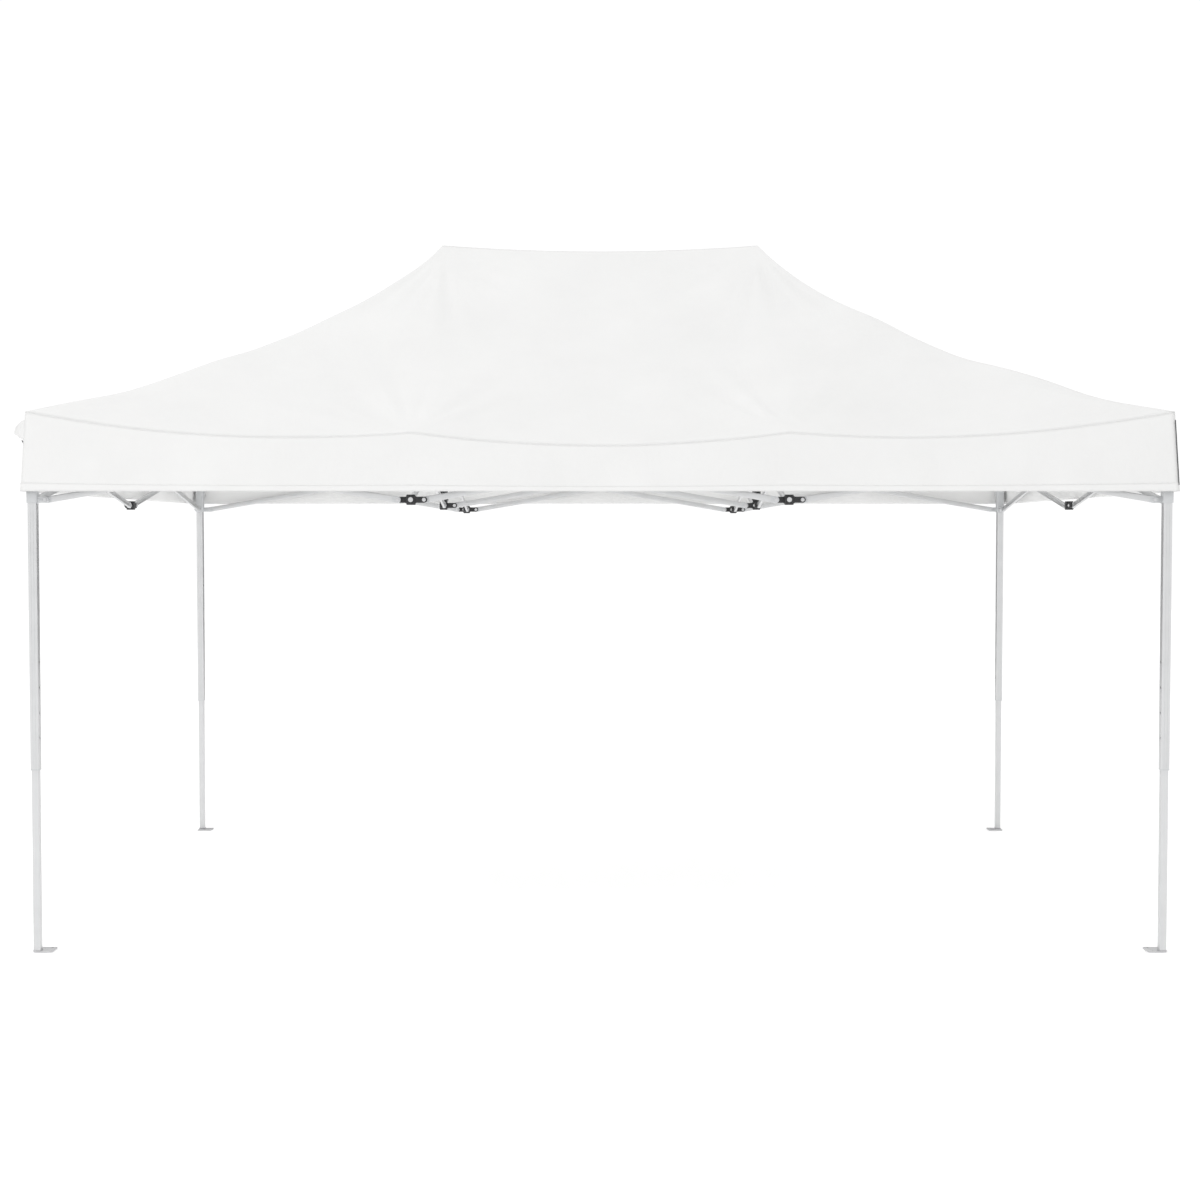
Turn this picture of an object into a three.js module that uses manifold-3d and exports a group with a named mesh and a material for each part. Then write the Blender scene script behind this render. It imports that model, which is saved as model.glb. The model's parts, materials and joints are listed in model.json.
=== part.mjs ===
// Pop up canopy, 4.5 m wide and 3 m deep. Millimetres, +Z up, front towards -Y.
// The origin is on the ground, under the middle of the canopy.
//
// The frame is a grid of scissor trusses. Nodes stand on 4 columns and 3 rows: a leg at each corner, a joint
// pair halfway along each side, and a mast at each of the two inner nodes. Each truss bay has two bars that
// cross at a rivet. Bar a falls from an upper joint to the next lower joint, and bar b rises beside it.
import * as THREE from 'three';
import { mergeVertices } from 'three/addons/utils/BufferGeometryUtils.js';
import Module from 'manifold-3d';

const wasm = await Module();
wasm.setup();

// ---- Driving sizes ----------------------------------------------------------------------------------------
const PITCH = 1478; // between neighbouring nodes, both ways
const COLUMNS = [-1.5, -0.5, 0.5, 1.5].map((n) => n * PITCH);
const ROWS = [-PITCH, 0, PITCH];

const UPPER_Z = 2015; // pivots of the upper joints
const LOWER_Z = 1780; // pivots of the lower joints
const PIVOT_REACH = 52; // from a node's centre to each pivot

const BAR_HEIGHT = 25;
const LAYER_INNER = 1; // a truss has two layers, this far from its mid plane ...
const LAYER_OUTER = 13; // ... to this far
const BAR_THICKNESS = LAYER_OUTER - LAYER_INNER;
const SPAN_FLAT = PITCH - 2 * PIVOT_REACH;
const BAR_LENGTH = Math.hypot(SPAN_FLAT, UPPER_Z - LOWER_Z); // between end pivots
const BAR_TILT = Math.atan2(UPPER_Z - LOWER_Z, SPAN_FLAT);
const HOLE_RADIUS = 5.6;
const PIN_RADIUS = 4;
const PIN_HEAD_RADIUS = 8;
const PIN_HEAD_INNER = LAYER_OUTER + 0.6;
const PIN_HEAD_OUTER = LAYER_OUTER + 4;
const PIN_SIDES = 6;

const EAR_RADIUS = 12;
const JOINT_HALF = 18; // a side joint's block is 36 mm square
const JOINT_HALF_HEIGHT = 20;
const RECESS_RADIUS = 10;
const RECESS_DEPTH = 12;

const OUTER_TUBE = 34;
const OUTER_WALL = 1.5;
const OUTER_BOTTOM_Z = 722;
const LEG_TOP_Z = 2104;
const BRACKET_HALF = 20;
const INNER_TUBE = 28;
const INNER_WALL = 1.5;
const INNER_TOP_Z = 1000;
const TUBE_CHAMFER = 2.5;
const HEIGHT_HOLES_Z = [844, 944, 1044, 1144];
const HEIGHT_HOLE_RADIUS = 5;

const FOOT_SIZE = 76;
const FOOT_THICKNESS = 5;
const FOOT_OVERHANG = 2; // past the inner tube on the outer sides
const PEG_HOLE_RADIUS = 6;
const PEG_HOLE_INSET = 16; // from the foot's inward corner

const SLIDER_HALF = 20.5;
const SLIDER_BORE = 35.2;
const SLIDER_BELOW = 10; // below its pivots
const SLIDER_ABOVE = 130;

const MAST_RADIUS = 14;
const MAST_TOP_Z = 2984;
const GUIDE_BORE_RADIUS = 16;
const GUIDE_RADIUS = 20;
const GUIDE_BOTTOM_Z = LOWER_Z + 24;
const HUB_HALF = 22;
const ROUND_SIDES = 12;

const CLOTH_THICKNESS = 2.5;
const CLOTH_PAST_LEG = 27; // from a leg's centre to the outside of the cloth
const HALF_WIDTH = COLUMNS[3] + CLOTH_PAST_LEG;
const HALF_DEPTH = ROWS[2] + CLOTH_PAST_LEG;
const PEAK_X = COLUMNS[2];
const PEAK_Z = 3000;
const RIDGE_SAG = 28;
const CORNER_Z = 2121;
const EAVE_JOINT_Z = 2041; // where the eave passes over a side joint
const EAVE_SAG = 52; // between the points that hold it up
const HIP_HOLLOW = 420;
const PANEL_HOLLOW = 300;
const PEAK_ROUNDING = 0.012;
const VALANCE_BOTTOM_Z = 1812;
const VALANCE_FLARE = 8;
const VALANCE_GAP = 0.5; // below the roof's edge
const WIDE_STEPS = 18; // along the front and the back
const DEEP_STEPS = 12; // along the left and the right
const ROOF_RINGS = [0, 0.015, 0.05, 0.12, 0.25, 0.42, 0.62, 0.82, 1];

// ---- Materials --------------------------------------------------------------------------------------------
const aluminium = new THREE.MeshStandardMaterial({ color: 0xd4d6d8, roughness: 0.35, metalness: 0.9 });
const plastic = new THREE.MeshStandardMaterial({ color: 0x1c1d1f, roughness: 0.6, metalness: 0 });
const cloth = new THREE.MeshStandardMaterial({ color: 0xf2f2f0, roughness: 0.85, metalness: 0 });

// ---- Solids -----------------------------------------------------------------------------------------------
function toSolid(geometry) {
  geometry.deleteAttribute('normal');
  geometry.deleteAttribute('uv');
  const merged = mergeVertices(geometry, 1e-3);
  const vertProperties = new Float32Array(merged.attributes.position.array);
  const triVerts = new Uint32Array(merged.index.array);
  return new wasm.Manifold(new wasm.Mesh({ numProp: 3, vertProperties, triVerts }));
}

function toGeometry(solid) {
  const { vertProperties, triVerts } = solid.getMesh();
  const geometry = new THREE.BufferGeometry();
  geometry.setAttribute('position', new THREE.BufferAttribute(new Float32Array(vertProperties), 3));
  geometry.setIndex(new THREE.BufferAttribute(new Uint32Array(triVerts), 1));
  geometry.computeVertexNormals();
  return geometry;
}

function join(...solids) {
  return solids.reduce((whole, piece) => whole.add(piece));
}

function block(x0, x1, y0, y1, z0, z1) {
  const geometry = new THREE.BoxGeometry(x1 - x0, y1 - y0, z1 - z0);
  return toSolid(geometry.translate((x0 + x1) / 2, (y0 + y1) / 2, (z0 + z1) / 2));
}

// A round piece along Y, from y0 to y1.
function pegAlongY(radius, y0, y1, x = 0, z = 0, sides = PIN_SIDES) {
  const length = Math.abs(y1 - y0);
  return toSolid(new THREE.CylinderGeometry(radius, radius, length, sides).translate(x, (y0 + y1) / 2, z));
}

function pegAlongZ(radius, z0, z1, sides = ROUND_SIDES) {
  const geometry = new THREE.CylinderGeometry(radius, radius, z1 - z0, sides).rotateX(Math.PI / 2);
  return toSolid(geometry.translate(0, 0, (z0 + z1) / 2));
}

function arcPoints(x, y, radius, from, to, steps) {
  return Array.from({ length: steps + 1 }, (_, i) => {
    const angle = from + ((to - from) * i) / steps;
    return new THREE.Vector2(x + radius * Math.cos(angle), y + radius * Math.sin(angle));
  });
}

function roundHole(x, y, radius, sides) {
  return new THREE.Path(arcPoints(x, y, radius, 0, 2 * Math.PI, sides).slice(0, -1));
}

// An outline in the XZ plane, given thickness along Y from y0 to y1.
function plateAcrossY(shape, y0, y1) {
  const geometry = new THREE.ExtrudeGeometry(shape, { depth: y1 - y0, bevelEnabled: false });
  return toSolid(geometry.rotateX(Math.PI / 2).translate(0, y1, 0));
}

// A square tube's outline with its corners taken off.
function squareOutline(size, chamfer) {
  const half = size / 2;
  const cut = half - chamfer;
  const corners = [[half, -cut], [half, cut], [cut, half], [-cut, half]];
  const points = [...corners, ...corners.map(([x, y]) => [-x, -y])];
  return points.map(([x, y]) => new THREE.Vector2(x, y));
}

function squareTube(size, wall, z0, z1) {
  const shape = new THREE.Shape(squareOutline(size, TUBE_CHAMFER));
  shape.holes.push(new THREE.Path(squareOutline(size - 2 * wall, TUBE_CHAMFER / 2)));
  const geometry = new THREE.ExtrudeGeometry(shape, { depth: z1 - z0, bevelEnabled: false });
  return toSolid(geometry.translate(0, 0, z0));
}

// ---- Bars -------------------------------------------------------------------------------------------------
function barOutline(withCentreHole) {
  const half = BAR_LENGTH / 2;
  const radius = BAR_HEIGHT / 2;
  const shape = new THREE.Shape([
    ...arcPoints(half, 0, radius, -Math.PI / 2, Math.PI / 2, 4),
    ...arcPoints(-half, 0, radius, Math.PI / 2, 1.5 * Math.PI, 4),
  ]);
  const holes = withCentreHole ? [-half, 0, half] : [-half, half];
  shape.holes = holes.map((x) => roundHole(x, 0, HOLE_RADIUS, PIN_SIDES));
  return shape;
}

// Bar a lies in the layer towards -Y and carries the centre rivet, which passes through bar b.
function fallingBar() {
  const bar = plateAcrossY(barOutline(false), -LAYER_OUTER, -LAYER_INNER);
  const rivet = pegAlongY(PIN_RADIUS, -LAYER_INNER - BAR_THICKNESS / 2, PIN_HEAD_INNER);
  const head = pegAlongY(PIN_HEAD_RADIUS, PIN_HEAD_INNER, PIN_HEAD_OUTER);
  return toGeometry(join(bar, rivet, head));
}

function risingBar() {
  return toGeometry(plateAcrossY(barOutline(true), LAYER_INNER, LAYER_OUTER));
}

// ---- Joints -----------------------------------------------------------------------------------------------
const DIRECTIONS = {
  right: { along: 1, quarterTurn: 0 },
  left: { along: -1, quarterTurn: 0 },
  back: { along: 1, quarterTurn: 90 },
  front: { along: -1, quarterTurn: 90 },
};

// One ear with its pin. The ear lies in the layer that its bar leaves free, and the pin passes through the bar.
function arm(direction, level) {
  const { along, quarterTurn } = DIRECTIONS[direction];
  const layer = level === 'upper' ? along : -along;
  const z = level === 'upper' ? UPPER_Z : LOWER_Z;
  const tip = arcPoints(PIVOT_REACH, 0, EAR_RADIUS, -Math.PI / 2, Math.PI / 2, 4);
  const root = [new THREE.Vector2(JOINT_HALF - 4, EAR_RADIUS), new THREE.Vector2(JOINT_HALF - 4, -EAR_RADIUS)];
  const ear = plateAcrossY(new THREE.Shape([...tip, ...root]), LAYER_INNER, LAYER_OUTER);
  const pin = pegAlongY(PIN_RADIUS, -PIN_HEAD_INNER, LAYER_INNER + BAR_THICKNESS / 2, PIVOT_REACH);
  const head = pegAlongY(PIN_HEAD_RADIUS, -PIN_HEAD_OUTER, -PIN_HEAD_INNER, PIVOT_REACH);
  let whole = join(ear, pin, head);
  if (along < 0) whole = whole.rotate([0, 0, 180]);
  if (layer !== along) whole = whole.mirror([0, 1, 0]);
  return whole.rotate([0, 0, quarterTurn]).translate([0, 0, z]);
}

function arms(directions, level) {
  return directions.map((direction) => arm(direction, level));
}

// A side joint's block has a round recess in its outward face, towards -X or -Y or their opposites.
function sideJoint(directions, level, outward) {
  const z = level === 'upper' ? UPPER_Z : LOWER_Z;
  const body = block(-JOINT_HALF, JOINT_HALF, -JOINT_HALF, JOINT_HALF, z - JOINT_HALF_HEIGHT, z + JOINT_HALF_HEIGHT);
  const recess = pegAlongY(RECESS_RADIUS, -JOINT_HALF - 1, RECESS_DEPTH - JOINT_HALF, 0, z, ROUND_SIDES);
  const turn = { front: 0, right: 90, back: 180, left: 270 }[outward];
  return toGeometry(join(body.subtract(recess.rotate([0, 0, turn])), ...arms(directions, level)));
}

function upperHub(directions) {
  const body = block(-HUB_HALF, HUB_HALF, -HUB_HALF, HUB_HALF, UPPER_Z - JOINT_HALF_HEIGHT, UPPER_Z + JOINT_HALF_HEIGHT);
  const guide = pegAlongZ(GUIDE_RADIUS, GUIDE_BOTTOM_Z, UPPER_Z);
  const bore = pegAlongZ(GUIDE_BORE_RADIUS, GUIDE_BOTTOM_Z - 1, UPPER_Z + JOINT_HALF_HEIGHT + 1);
  return toGeometry(join(body, guide, ...arms(directions, 'upper')).subtract(bore));
}

function mastWithLowerHub(directions) {
  const low = LOWER_Z - JOINT_HALF_HEIGHT;
  const high = LOWER_Z + JOINT_HALF_HEIGHT;
  const body = block(-JOINT_HALF, JOINT_HALF, -JOINT_HALF, JOINT_HALF, low, high);
  const tip = arcPoints(0, MAST_TOP_Z - MAST_RADIUS, MAST_RADIUS, 0, Math.PI / 2, 3);
  tip[3].x = 0;
  const profile = [new THREE.Vector2(0, LOWER_Z), new THREE.Vector2(MAST_RADIUS, LOWER_Z), ...tip];
  const mast = toSolid(new THREE.LatheGeometry(profile, ROUND_SIDES).rotateX(Math.PI / 2));
  return toGeometry(join(body, mast, ...arms(directions, 'lower')));
}

// ---- Legs -------------------------------------------------------------------------------------------------
// inX and inY are +1 or -1, towards the middle of the canopy.
function outerLeg(directions, inX) {
  const tube = squareTube(OUTER_TUBE, OUTER_WALL, OUTER_BOTTOM_Z, UPPER_Z);
  const holes = HEIGHT_HOLES_Z.map((z) => {
    const hole = pegAlongY(HEIGHT_HOLE_RADIUS, 0, OUTER_TUBE, 0, z);
    return hole.rotate([0, 0, -90 * inX]);
  });
  const low = UPPER_Z - JOINT_HALF_HEIGHT;
  const bracket = block(-BRACKET_HALF, BRACKET_HALF, -BRACKET_HALF, BRACKET_HALF, low, LEG_TOP_Z);
  return toGeometry(join(tube.subtract(join(...holes)), bracket, ...arms(directions, 'upper')));
}

function innerLeg(inX, inY) {
  const tube = squareTube(INNER_TUBE, INNER_WALL, FOOT_THICKNESS / 2, INNER_TOP_Z);
  const near = INNER_TUBE / 2 + FOOT_OVERHANG;
  const far = FOOT_SIZE - near;
  const plate = block(-near, far, -near, far, 0, FOOT_THICKNESS);
  const pegHole = pegAlongZ(PEG_HOLE_RADIUS, -1, FOOT_THICKNESS + 1, PIN_SIDES);
  const peg = far - PEG_HOLE_INSET;
  let foot = plate.subtract(pegHole.translate([peg, peg, 0]));
  if (inX < 0) foot = foot.mirror([1, 0, 0]);
  if (inY < 0) foot = foot.mirror([0, 1, 0]);
  return toGeometry(join(foot, tube));
}

function slider(directions) {
  const half = SLIDER_HALF;
  const bore = SLIDER_BORE / 2;
  const low = LOWER_Z - SLIDER_BELOW;
  const high = LOWER_Z + SLIDER_ABOVE;
  const sleeve = join(block(-half, half, -half, half, low, high), ...arms(directions, 'lower'));
  return toGeometry(sleeve.subtract(block(-bore, bore, -bore, bore, low - EAR_RADIUS, high + 1)));
}

// ---- Cloth ------------------------------------------------------------------------------------------------
const SIDES = ['front', 'right', 'back', 'left'];

function stepsOf(side) {
  return side === 'front' || side === 'back' ? WIDE_STEPS : DEEP_STEPS;
}

// The eave hangs between the points that hold it up.
function eaveHeight(at, supports) {
  const k = Math.min(supports.findIndex(([x], i) => i > 0 && at <= x + 1e-6), supports.length - 1);
  const [x0, z0] = supports[k - 1];
  const [x1, z1] = supports[k];
  const t = (at - x0) / (x1 - x0);
  return { straight: z0 + (z1 - z0) * t, sag: EAVE_SAG * 4 * t * (1 - t) };
}

// u runs along a side, counter-clockwise from above, and v runs from the ridge, 0, down to the eave, 1.
function roofPoint(side, u, v) {
  const wide = side === 'front' || side === 'back';
  const across = side === 'front' || side === 'right' ? 2 * u - 1 : 1 - 2 * u;
  const sign = side === 'front' || side === 'left' ? -1 : 1;
  const rim = wide ? [across * HALF_WIDTH, sign * HALF_DEPTH] : [sign * HALF_WIDTH, across * HALF_DEPTH];
  const top = wide ? [across * PEAK_X, 0] : [sign * PEAK_X, 0];
  const supports = wide
    ? [[-HALF_WIDTH, CORNER_Z], [-PEAK_X, EAVE_JOINT_Z], [PEAK_X, EAVE_JOINT_Z], [HALF_WIDTH, CORNER_Z]]
    : [[-HALF_DEPTH, CORNER_Z], [0, EAVE_JOINT_Z], [HALF_DEPTH, CORNER_Z]];
  const eave = eaveHeight(wide ? rim[0] : rim[1], supports);
  const topZ = PEAK_Z - (wide ? RIDGE_SAG * (1 - across * across) : 0);
  const hollow = PANEL_HOLLOW + (HIP_HOLLOW - PANEL_HOLLOW) * Math.abs(across) ** 3;
  const fromPeak = Math.hypot(v, PEAK_ROUNDING) - PEAK_ROUNDING;
  const z = topZ + (eave.straight - topZ) * v - hollow * fromPeak ** 0.7 * (1 - v) - eave.sag * v ** 3;
  return new THREE.Vector3(top[0] + (rim[0] - top[0]) * v, top[1] + (rim[1] - top[1]) * v, z);
}

// Closes a grid of points into a surface of triangles. turned reverses its faces, and no face has zero area.
function addSurface(triangles, pointAt, uSteps, rings, turned) {
  for (let i = 0; i < uSteps; i += 1) {
    for (let k = 0; k + 1 < rings.length; k += 1) {
      const [a, b] = [pointAt(i / uSteps, rings[k]), pointAt((i + 1) / uSteps, rings[k])];
      const [c, d] = [pointAt(i / uSteps, rings[k + 1]), pointAt((i + 1) / uSteps, rings[k + 1])];
      const faces = a.distanceTo(b) > 0.01 ? [[a, c, d], [a, d, b]] : [[a, c, d]];
      faces.forEach(([p, q, r]) => triangles.push(...(turned ? [p, r, q] : [p, q, r])));
    }
  }
}

function surfaceGeometry(triangles) {
  const geometry = new THREE.BufferGeometry().setFromPoints(triangles);
  return toGeometry(toSolid(geometry));
}

function roofCover() {
  const triangles = [];
  const under = (p) => p.clone().setZ(p.z - CLOTH_THICKNESS);
  for (const side of SIDES) {
    const steps = stepsOf(side);
    addSurface(triangles, (u, v) => roofPoint(side, u, v), steps, ROOF_RINGS, false);
    addSurface(triangles, (u, v) => under(roofPoint(side, u, v)), steps, ROOF_RINGS, true);
    const rim = (u, v) => (v ? under(roofPoint(side, u, 1)) : roofPoint(side, u, 1));
    addSurface(triangles, rim, steps, [0, 1], false);
  }
  return surfaceGeometry(triangles);
}

// The valance hangs straight from the eave to a level hem, and flares a little. inset is 0 outside and 1 inside.
function valancePoint(side, u, v, inset) {
  const eave = roofPoint(side, u, 1);
  const top = eave.z - CLOTH_THICKNESS - VALANCE_GAP;
  const out = VALANCE_FLARE * v - CLOTH_THICKNESS * inset;
  const x = eave.x * (1 + out / HALF_WIDTH);
  const y = eave.y * (1 + out / HALF_DEPTH);
  return new THREE.Vector3(x, y, top + (VALANCE_BOTTOM_Z - top) * v);
}

function valance() {
  const triangles = [];
  for (const side of SIDES) {
    const steps = stepsOf(side);
    const levels = [0, 0.5, 1];
    addSurface(triangles, (u, v) => valancePoint(side, u, v, 0), steps, levels, false);
    addSurface(triangles, (u, v) => valancePoint(side, u, v, 1), steps, levels, true);
    addSurface(triangles, (u, v) => valancePoint(side, u, 0, v), steps, [0, 1], true);
    addSurface(triangles, (u, v) => valancePoint(side, u, 1, v), steps, [0, 1], false);
  }
  return surfaceGeometry(triangles);
}

// ---- Assembly ---------------------------------------------------------------------------------------------
const canopy = new THREE.Group();

function addMesh(parent, name, geometry, material, x = 0, y = 0) {
  const mesh = new THREE.Mesh(geometry, material);
  mesh.name = name;
  mesh.position.set(x, y, 0);
  parent.add(mesh);
  return mesh;
}

// A bay's two bars, in a group that is turned a quarter turn for a truss that runs from front to back.
const BAR_A = fallingBar();
const BAR_B = risingBar();

function addBay(name, x, y, quarterTurn) {
  const bay = new THREE.Group();
  bay.position.set(x, y, (UPPER_Z + LOWER_Z) / 2);
  bay.rotation.z = THREE.MathUtils.degToRad(quarterTurn);
  addMesh(bay, `${name}_bar_a`, BAR_A, aluminium).rotation.y = BAR_TILT;
  addMesh(bay, `${name}_bar_b`, BAR_B, aluminium).rotation.y = -BAR_TILT;
  canopy.add(bay);
}

for (const [row, y] of [['front', ROWS[0]], ['back', ROWS[2]]]) {
  ['left', 'middle', 'right'].forEach((bay, i) => addBay(`${row}_${bay}`, (i - 1) * PITCH, y, 0));
}
addBay('ridge', 0, 0, 0);
for (const [column, x] of [['left_side', 0], ['left_cross', 1], ['right_cross', 2], ['right_side', 3]]) {
  ['front', 'back'].forEach((bay, j) => addBay(`${column}_${bay}`, COLUMNS[x], (j - 0.5) * PITCH, 90));
}

const SIDE_JOINTS = [
  { name: 'front_left_joint', at: [1, 0], directions: ['left', 'right', 'back'], outward: 'front' },
  { name: 'front_right_joint', at: [2, 0], directions: ['left', 'right', 'back'], outward: 'front' },
  { name: 'back_left_joint', at: [1, 2], directions: ['left', 'right', 'front'], outward: 'back' },
  { name: 'back_right_joint', at: [2, 2], directions: ['left', 'right', 'front'], outward: 'back' },
  { name: 'left_joint', at: [0, 1], directions: ['front', 'back'], outward: 'left' },
  { name: 'right_joint', at: [3, 1], directions: ['front', 'back'], outward: 'right' },
];
for (const { name, at, directions, outward } of SIDE_JOINTS) {
  for (const level of ['upper', 'lower']) {
    addMesh(canopy, `${name}_${level}`, sideJoint(directions, level, outward), plastic, COLUMNS[at[0]], ROWS[at[1]]);
  }
}

const MASTS = [
  { name: 'left', column: 1, directions: ['front', 'back', 'right'] },
  { name: 'right', column: 2, directions: ['front', 'back', 'left'] },
];
for (const { name, column, directions } of MASTS) {
  addMesh(canopy, `${name}_mast_guide_hub`, upperHub(directions), plastic, COLUMNS[column]);
  addMesh(canopy, `${name}_mast`, mastWithLowerHub(directions), aluminium, COLUMNS[column]);
}

const LEGS = [
  { name: 'front_left', at: [0, 0], inward: [1, 1], directions: ['right', 'back'] },
  { name: 'front_right', at: [3, 0], inward: [-1, 1], directions: ['left', 'back'] },
  { name: 'back_left', at: [0, 2], inward: [1, -1], directions: ['right', 'front'] },
  { name: 'back_right', at: [3, 2], inward: [-1, -1], directions: ['left', 'front'] },
];
for (const { name, at, inward, directions } of LEGS) {
  const [x, y] = [COLUMNS[at[0]], ROWS[at[1]]];
  addMesh(canopy, `${name}_leg_outer`, outerLeg(directions, inward[0]), aluminium, x, y);
  addMesh(canopy, `${name}_leg_inner`, innerLeg(...inward), aluminium, x, y);
  addMesh(canopy, `${name}_slider`, slider(directions), plastic, x, y);
}

addMesh(canopy, 'roof_cover', roofCover(), cloth);
addMesh(canopy, 'valance', valance(), cloth);

export default canopy;
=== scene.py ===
"""The looks of a white 4.5 m x 3 m pop up canopy. Metres, +Z up, front towards -Y."""

import json
import math

import bmesh
import bpy
import numpy as np
from mathutils import Matrix, Vector

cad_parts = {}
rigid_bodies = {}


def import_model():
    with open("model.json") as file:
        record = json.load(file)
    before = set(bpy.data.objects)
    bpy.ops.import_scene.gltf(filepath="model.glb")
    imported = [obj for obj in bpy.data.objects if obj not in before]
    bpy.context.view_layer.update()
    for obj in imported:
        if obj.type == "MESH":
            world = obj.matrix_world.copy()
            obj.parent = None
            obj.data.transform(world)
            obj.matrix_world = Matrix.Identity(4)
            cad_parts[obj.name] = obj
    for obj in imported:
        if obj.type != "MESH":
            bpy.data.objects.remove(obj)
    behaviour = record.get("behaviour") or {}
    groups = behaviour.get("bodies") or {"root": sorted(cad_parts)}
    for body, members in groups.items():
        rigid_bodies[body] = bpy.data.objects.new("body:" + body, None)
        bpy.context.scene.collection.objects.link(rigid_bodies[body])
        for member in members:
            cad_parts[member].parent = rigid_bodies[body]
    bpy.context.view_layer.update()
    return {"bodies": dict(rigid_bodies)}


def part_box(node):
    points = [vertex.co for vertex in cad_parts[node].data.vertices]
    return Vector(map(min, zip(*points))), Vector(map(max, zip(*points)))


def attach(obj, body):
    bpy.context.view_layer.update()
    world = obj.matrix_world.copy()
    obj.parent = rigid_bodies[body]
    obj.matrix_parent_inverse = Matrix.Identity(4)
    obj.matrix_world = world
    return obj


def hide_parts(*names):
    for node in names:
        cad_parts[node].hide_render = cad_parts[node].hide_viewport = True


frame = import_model()

# ---- Sizes, from the frame where it holds them -----------


def middle(node):
    low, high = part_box(node)
    return (low + high) / 2


COLUMNS = [middle(f"{name}_joint_upper").x for name in ("left", "front_left", "front_right", "right")]
PITCH = COLUMNS[2] - COLUMNS[1]
ROWS = [-PITCH, 0.0, PITCH]
UPPER_Z = middle("left_joint_upper").z
LOWER_Z = middle("left_joint_lower").z
PIVOT_REACH = 0.052  # from a joint's middle to a bar's pivot
LAYER_INNER, LAYER_OUTER = 0.001, 0.013  # the faces of a bar, from the truss's middle plane
BAR_HEIGHT = 0.025
BAR_LENGTH = math.hypot(PITCH - 2 * PIVOT_REACH, UPPER_Z - LOWER_Z)
BAR_TILT = math.atan2(UPPER_Z - LOWER_Z, PITCH - 2 * PIVOT_REACH)
JOINT_HALF, JOINT_HALF_HEIGHT = 0.018, 0.020
EAR_RADIUS = 0.012
HUB_HALF = 0.022
OUTER_TUBE, OUTER_WALL = 0.034, 0.0015
GROOVES, GROOVE_HALF, GROOVE_DEPTH = (0.0055, -0.0055), 0.0009, 0.0007  # drawn along the outer tube
INNER_TUBE = 0.028
BRACKET_HALF = 0.020
LEG_TOP_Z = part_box("front_left_leg_outer")[1].z
OUTER_BOTTOM_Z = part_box("front_left_leg_outer")[0].z
INNER_TOP_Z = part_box("front_left_leg_inner")[1].z
HEIGHT_HOLES_Z = [0.844, 0.944, 1.044, 1.144]
HOLE_RADIUS, HOLE_STEPS = 0.005, 16
FOOT_SIZE, FOOT_THICKNESS, FOOT_OVERHANG = 0.076, 0.005, 0.002
PEG_HOLE_RADIUS = 0.006
MAST_TOP_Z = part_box("left_mast")[1].z
SLIDER_LOW, SLIDER_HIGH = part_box("front_left_slider")[0].z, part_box("front_left_slider")[1].z
SLIDER_HALF, SLIDER_BORE = 0.0205, 0.0176
GUIDE_BOTTOM_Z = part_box("left_mast_guide_hub")[0].z
GUIDE_BORE = 0.0160
BOLT_RADIUS, WASHER_RADIUS, NUT_RADIUS = 0.0038, 0.0076, 0.0060

# The frame's nodes, each at its (column, row)
LEGS = {"front_left": (0, 0), "front_right": (3, 0), "back_left": (0, 2), "back_right": (3, 2)}
JOINTS = {"front_left_joint": (1, 0), "front_right_joint": (2, 0), "back_left_joint": (1, 2),
          "back_right_joint": (2, 2), "left_joint": (0, 1), "right_joint": (3, 1)}
MASTS = {"left": (1, 1), "right": (2, 1)}

EAVE_INSET = 0.006  # the eave's seam lies this far inside the valance's widest line
HALF_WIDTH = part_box("roof_cover")[1].x - EAVE_INSET
HALF_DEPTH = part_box("roof_cover")[1].y - EAVE_INSET
PEAK_X = COLUMNS[2]
PEAK_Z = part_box("roof_cover")[1].z
RIDGE_SAG = 0.028
CORNER_Z, EAVE_JOINT_Z = 2.121, 2.041
EAVE_SAG = 0.052  # how far the eave hangs between two supports
HIP_HOLLOW, PANEL_HOLLOW = 0.420, 0.300  # how far the roof sinks below a straight slope
PEAK_ROUNDING = 0.012
VALANCE_BOTTOM_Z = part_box("valance")[0].z
VALANCE_FLARE = 0.016  # how far the hem stands out from the eave
CLOTH_THICKNESS = 0.0009
TAPE_LIFT, TAPE_THICKNESS = 0.0004, 0.0007
HIP_TAPE_HALF, CROWN_TAPE_HALF, RIDGE_TAPE_HALF = 0.013, 0.010, 0.012
HEM_SPAN = 0.89, 0.999  # shares of the way down the valance
CROWN_SEAM = 0.23  # a seam's place, as a share of the way from ridge to eave
BILLOW_HEIGHT, FOLD_HEIGHT = 0.0022, 0.0042  # the slow waves of the cloth, and its folds
FOLDS_START, FOLDS_FADE = 0.16, 0.60  # how far from a support the roof's folds are
ROOF_SEED, VALANCE_SEED = 11, 40
WIDE_STEPS, DEEP_STEPS, RINGS, VALANCE_ROWS = 240, 160, 72, 26
SIDES = {"front": WIDE_STEPS, "right": DEEP_STEPS, "back": WIDE_STEPS, "left": DEEP_STEPS}

# ---- Materials -------------------------------------------

STITCH_PITCH, TAPE_RIB_PITCH = 0.0045, 0.0016
DRAW_FINENESS, DRAW_STRETCH = 260.0, 2.5  # noise per metre across the draw lines, and along them


def shade(colour, share):
    return tuple(min(1.0, share * part) for part in colour)


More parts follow.
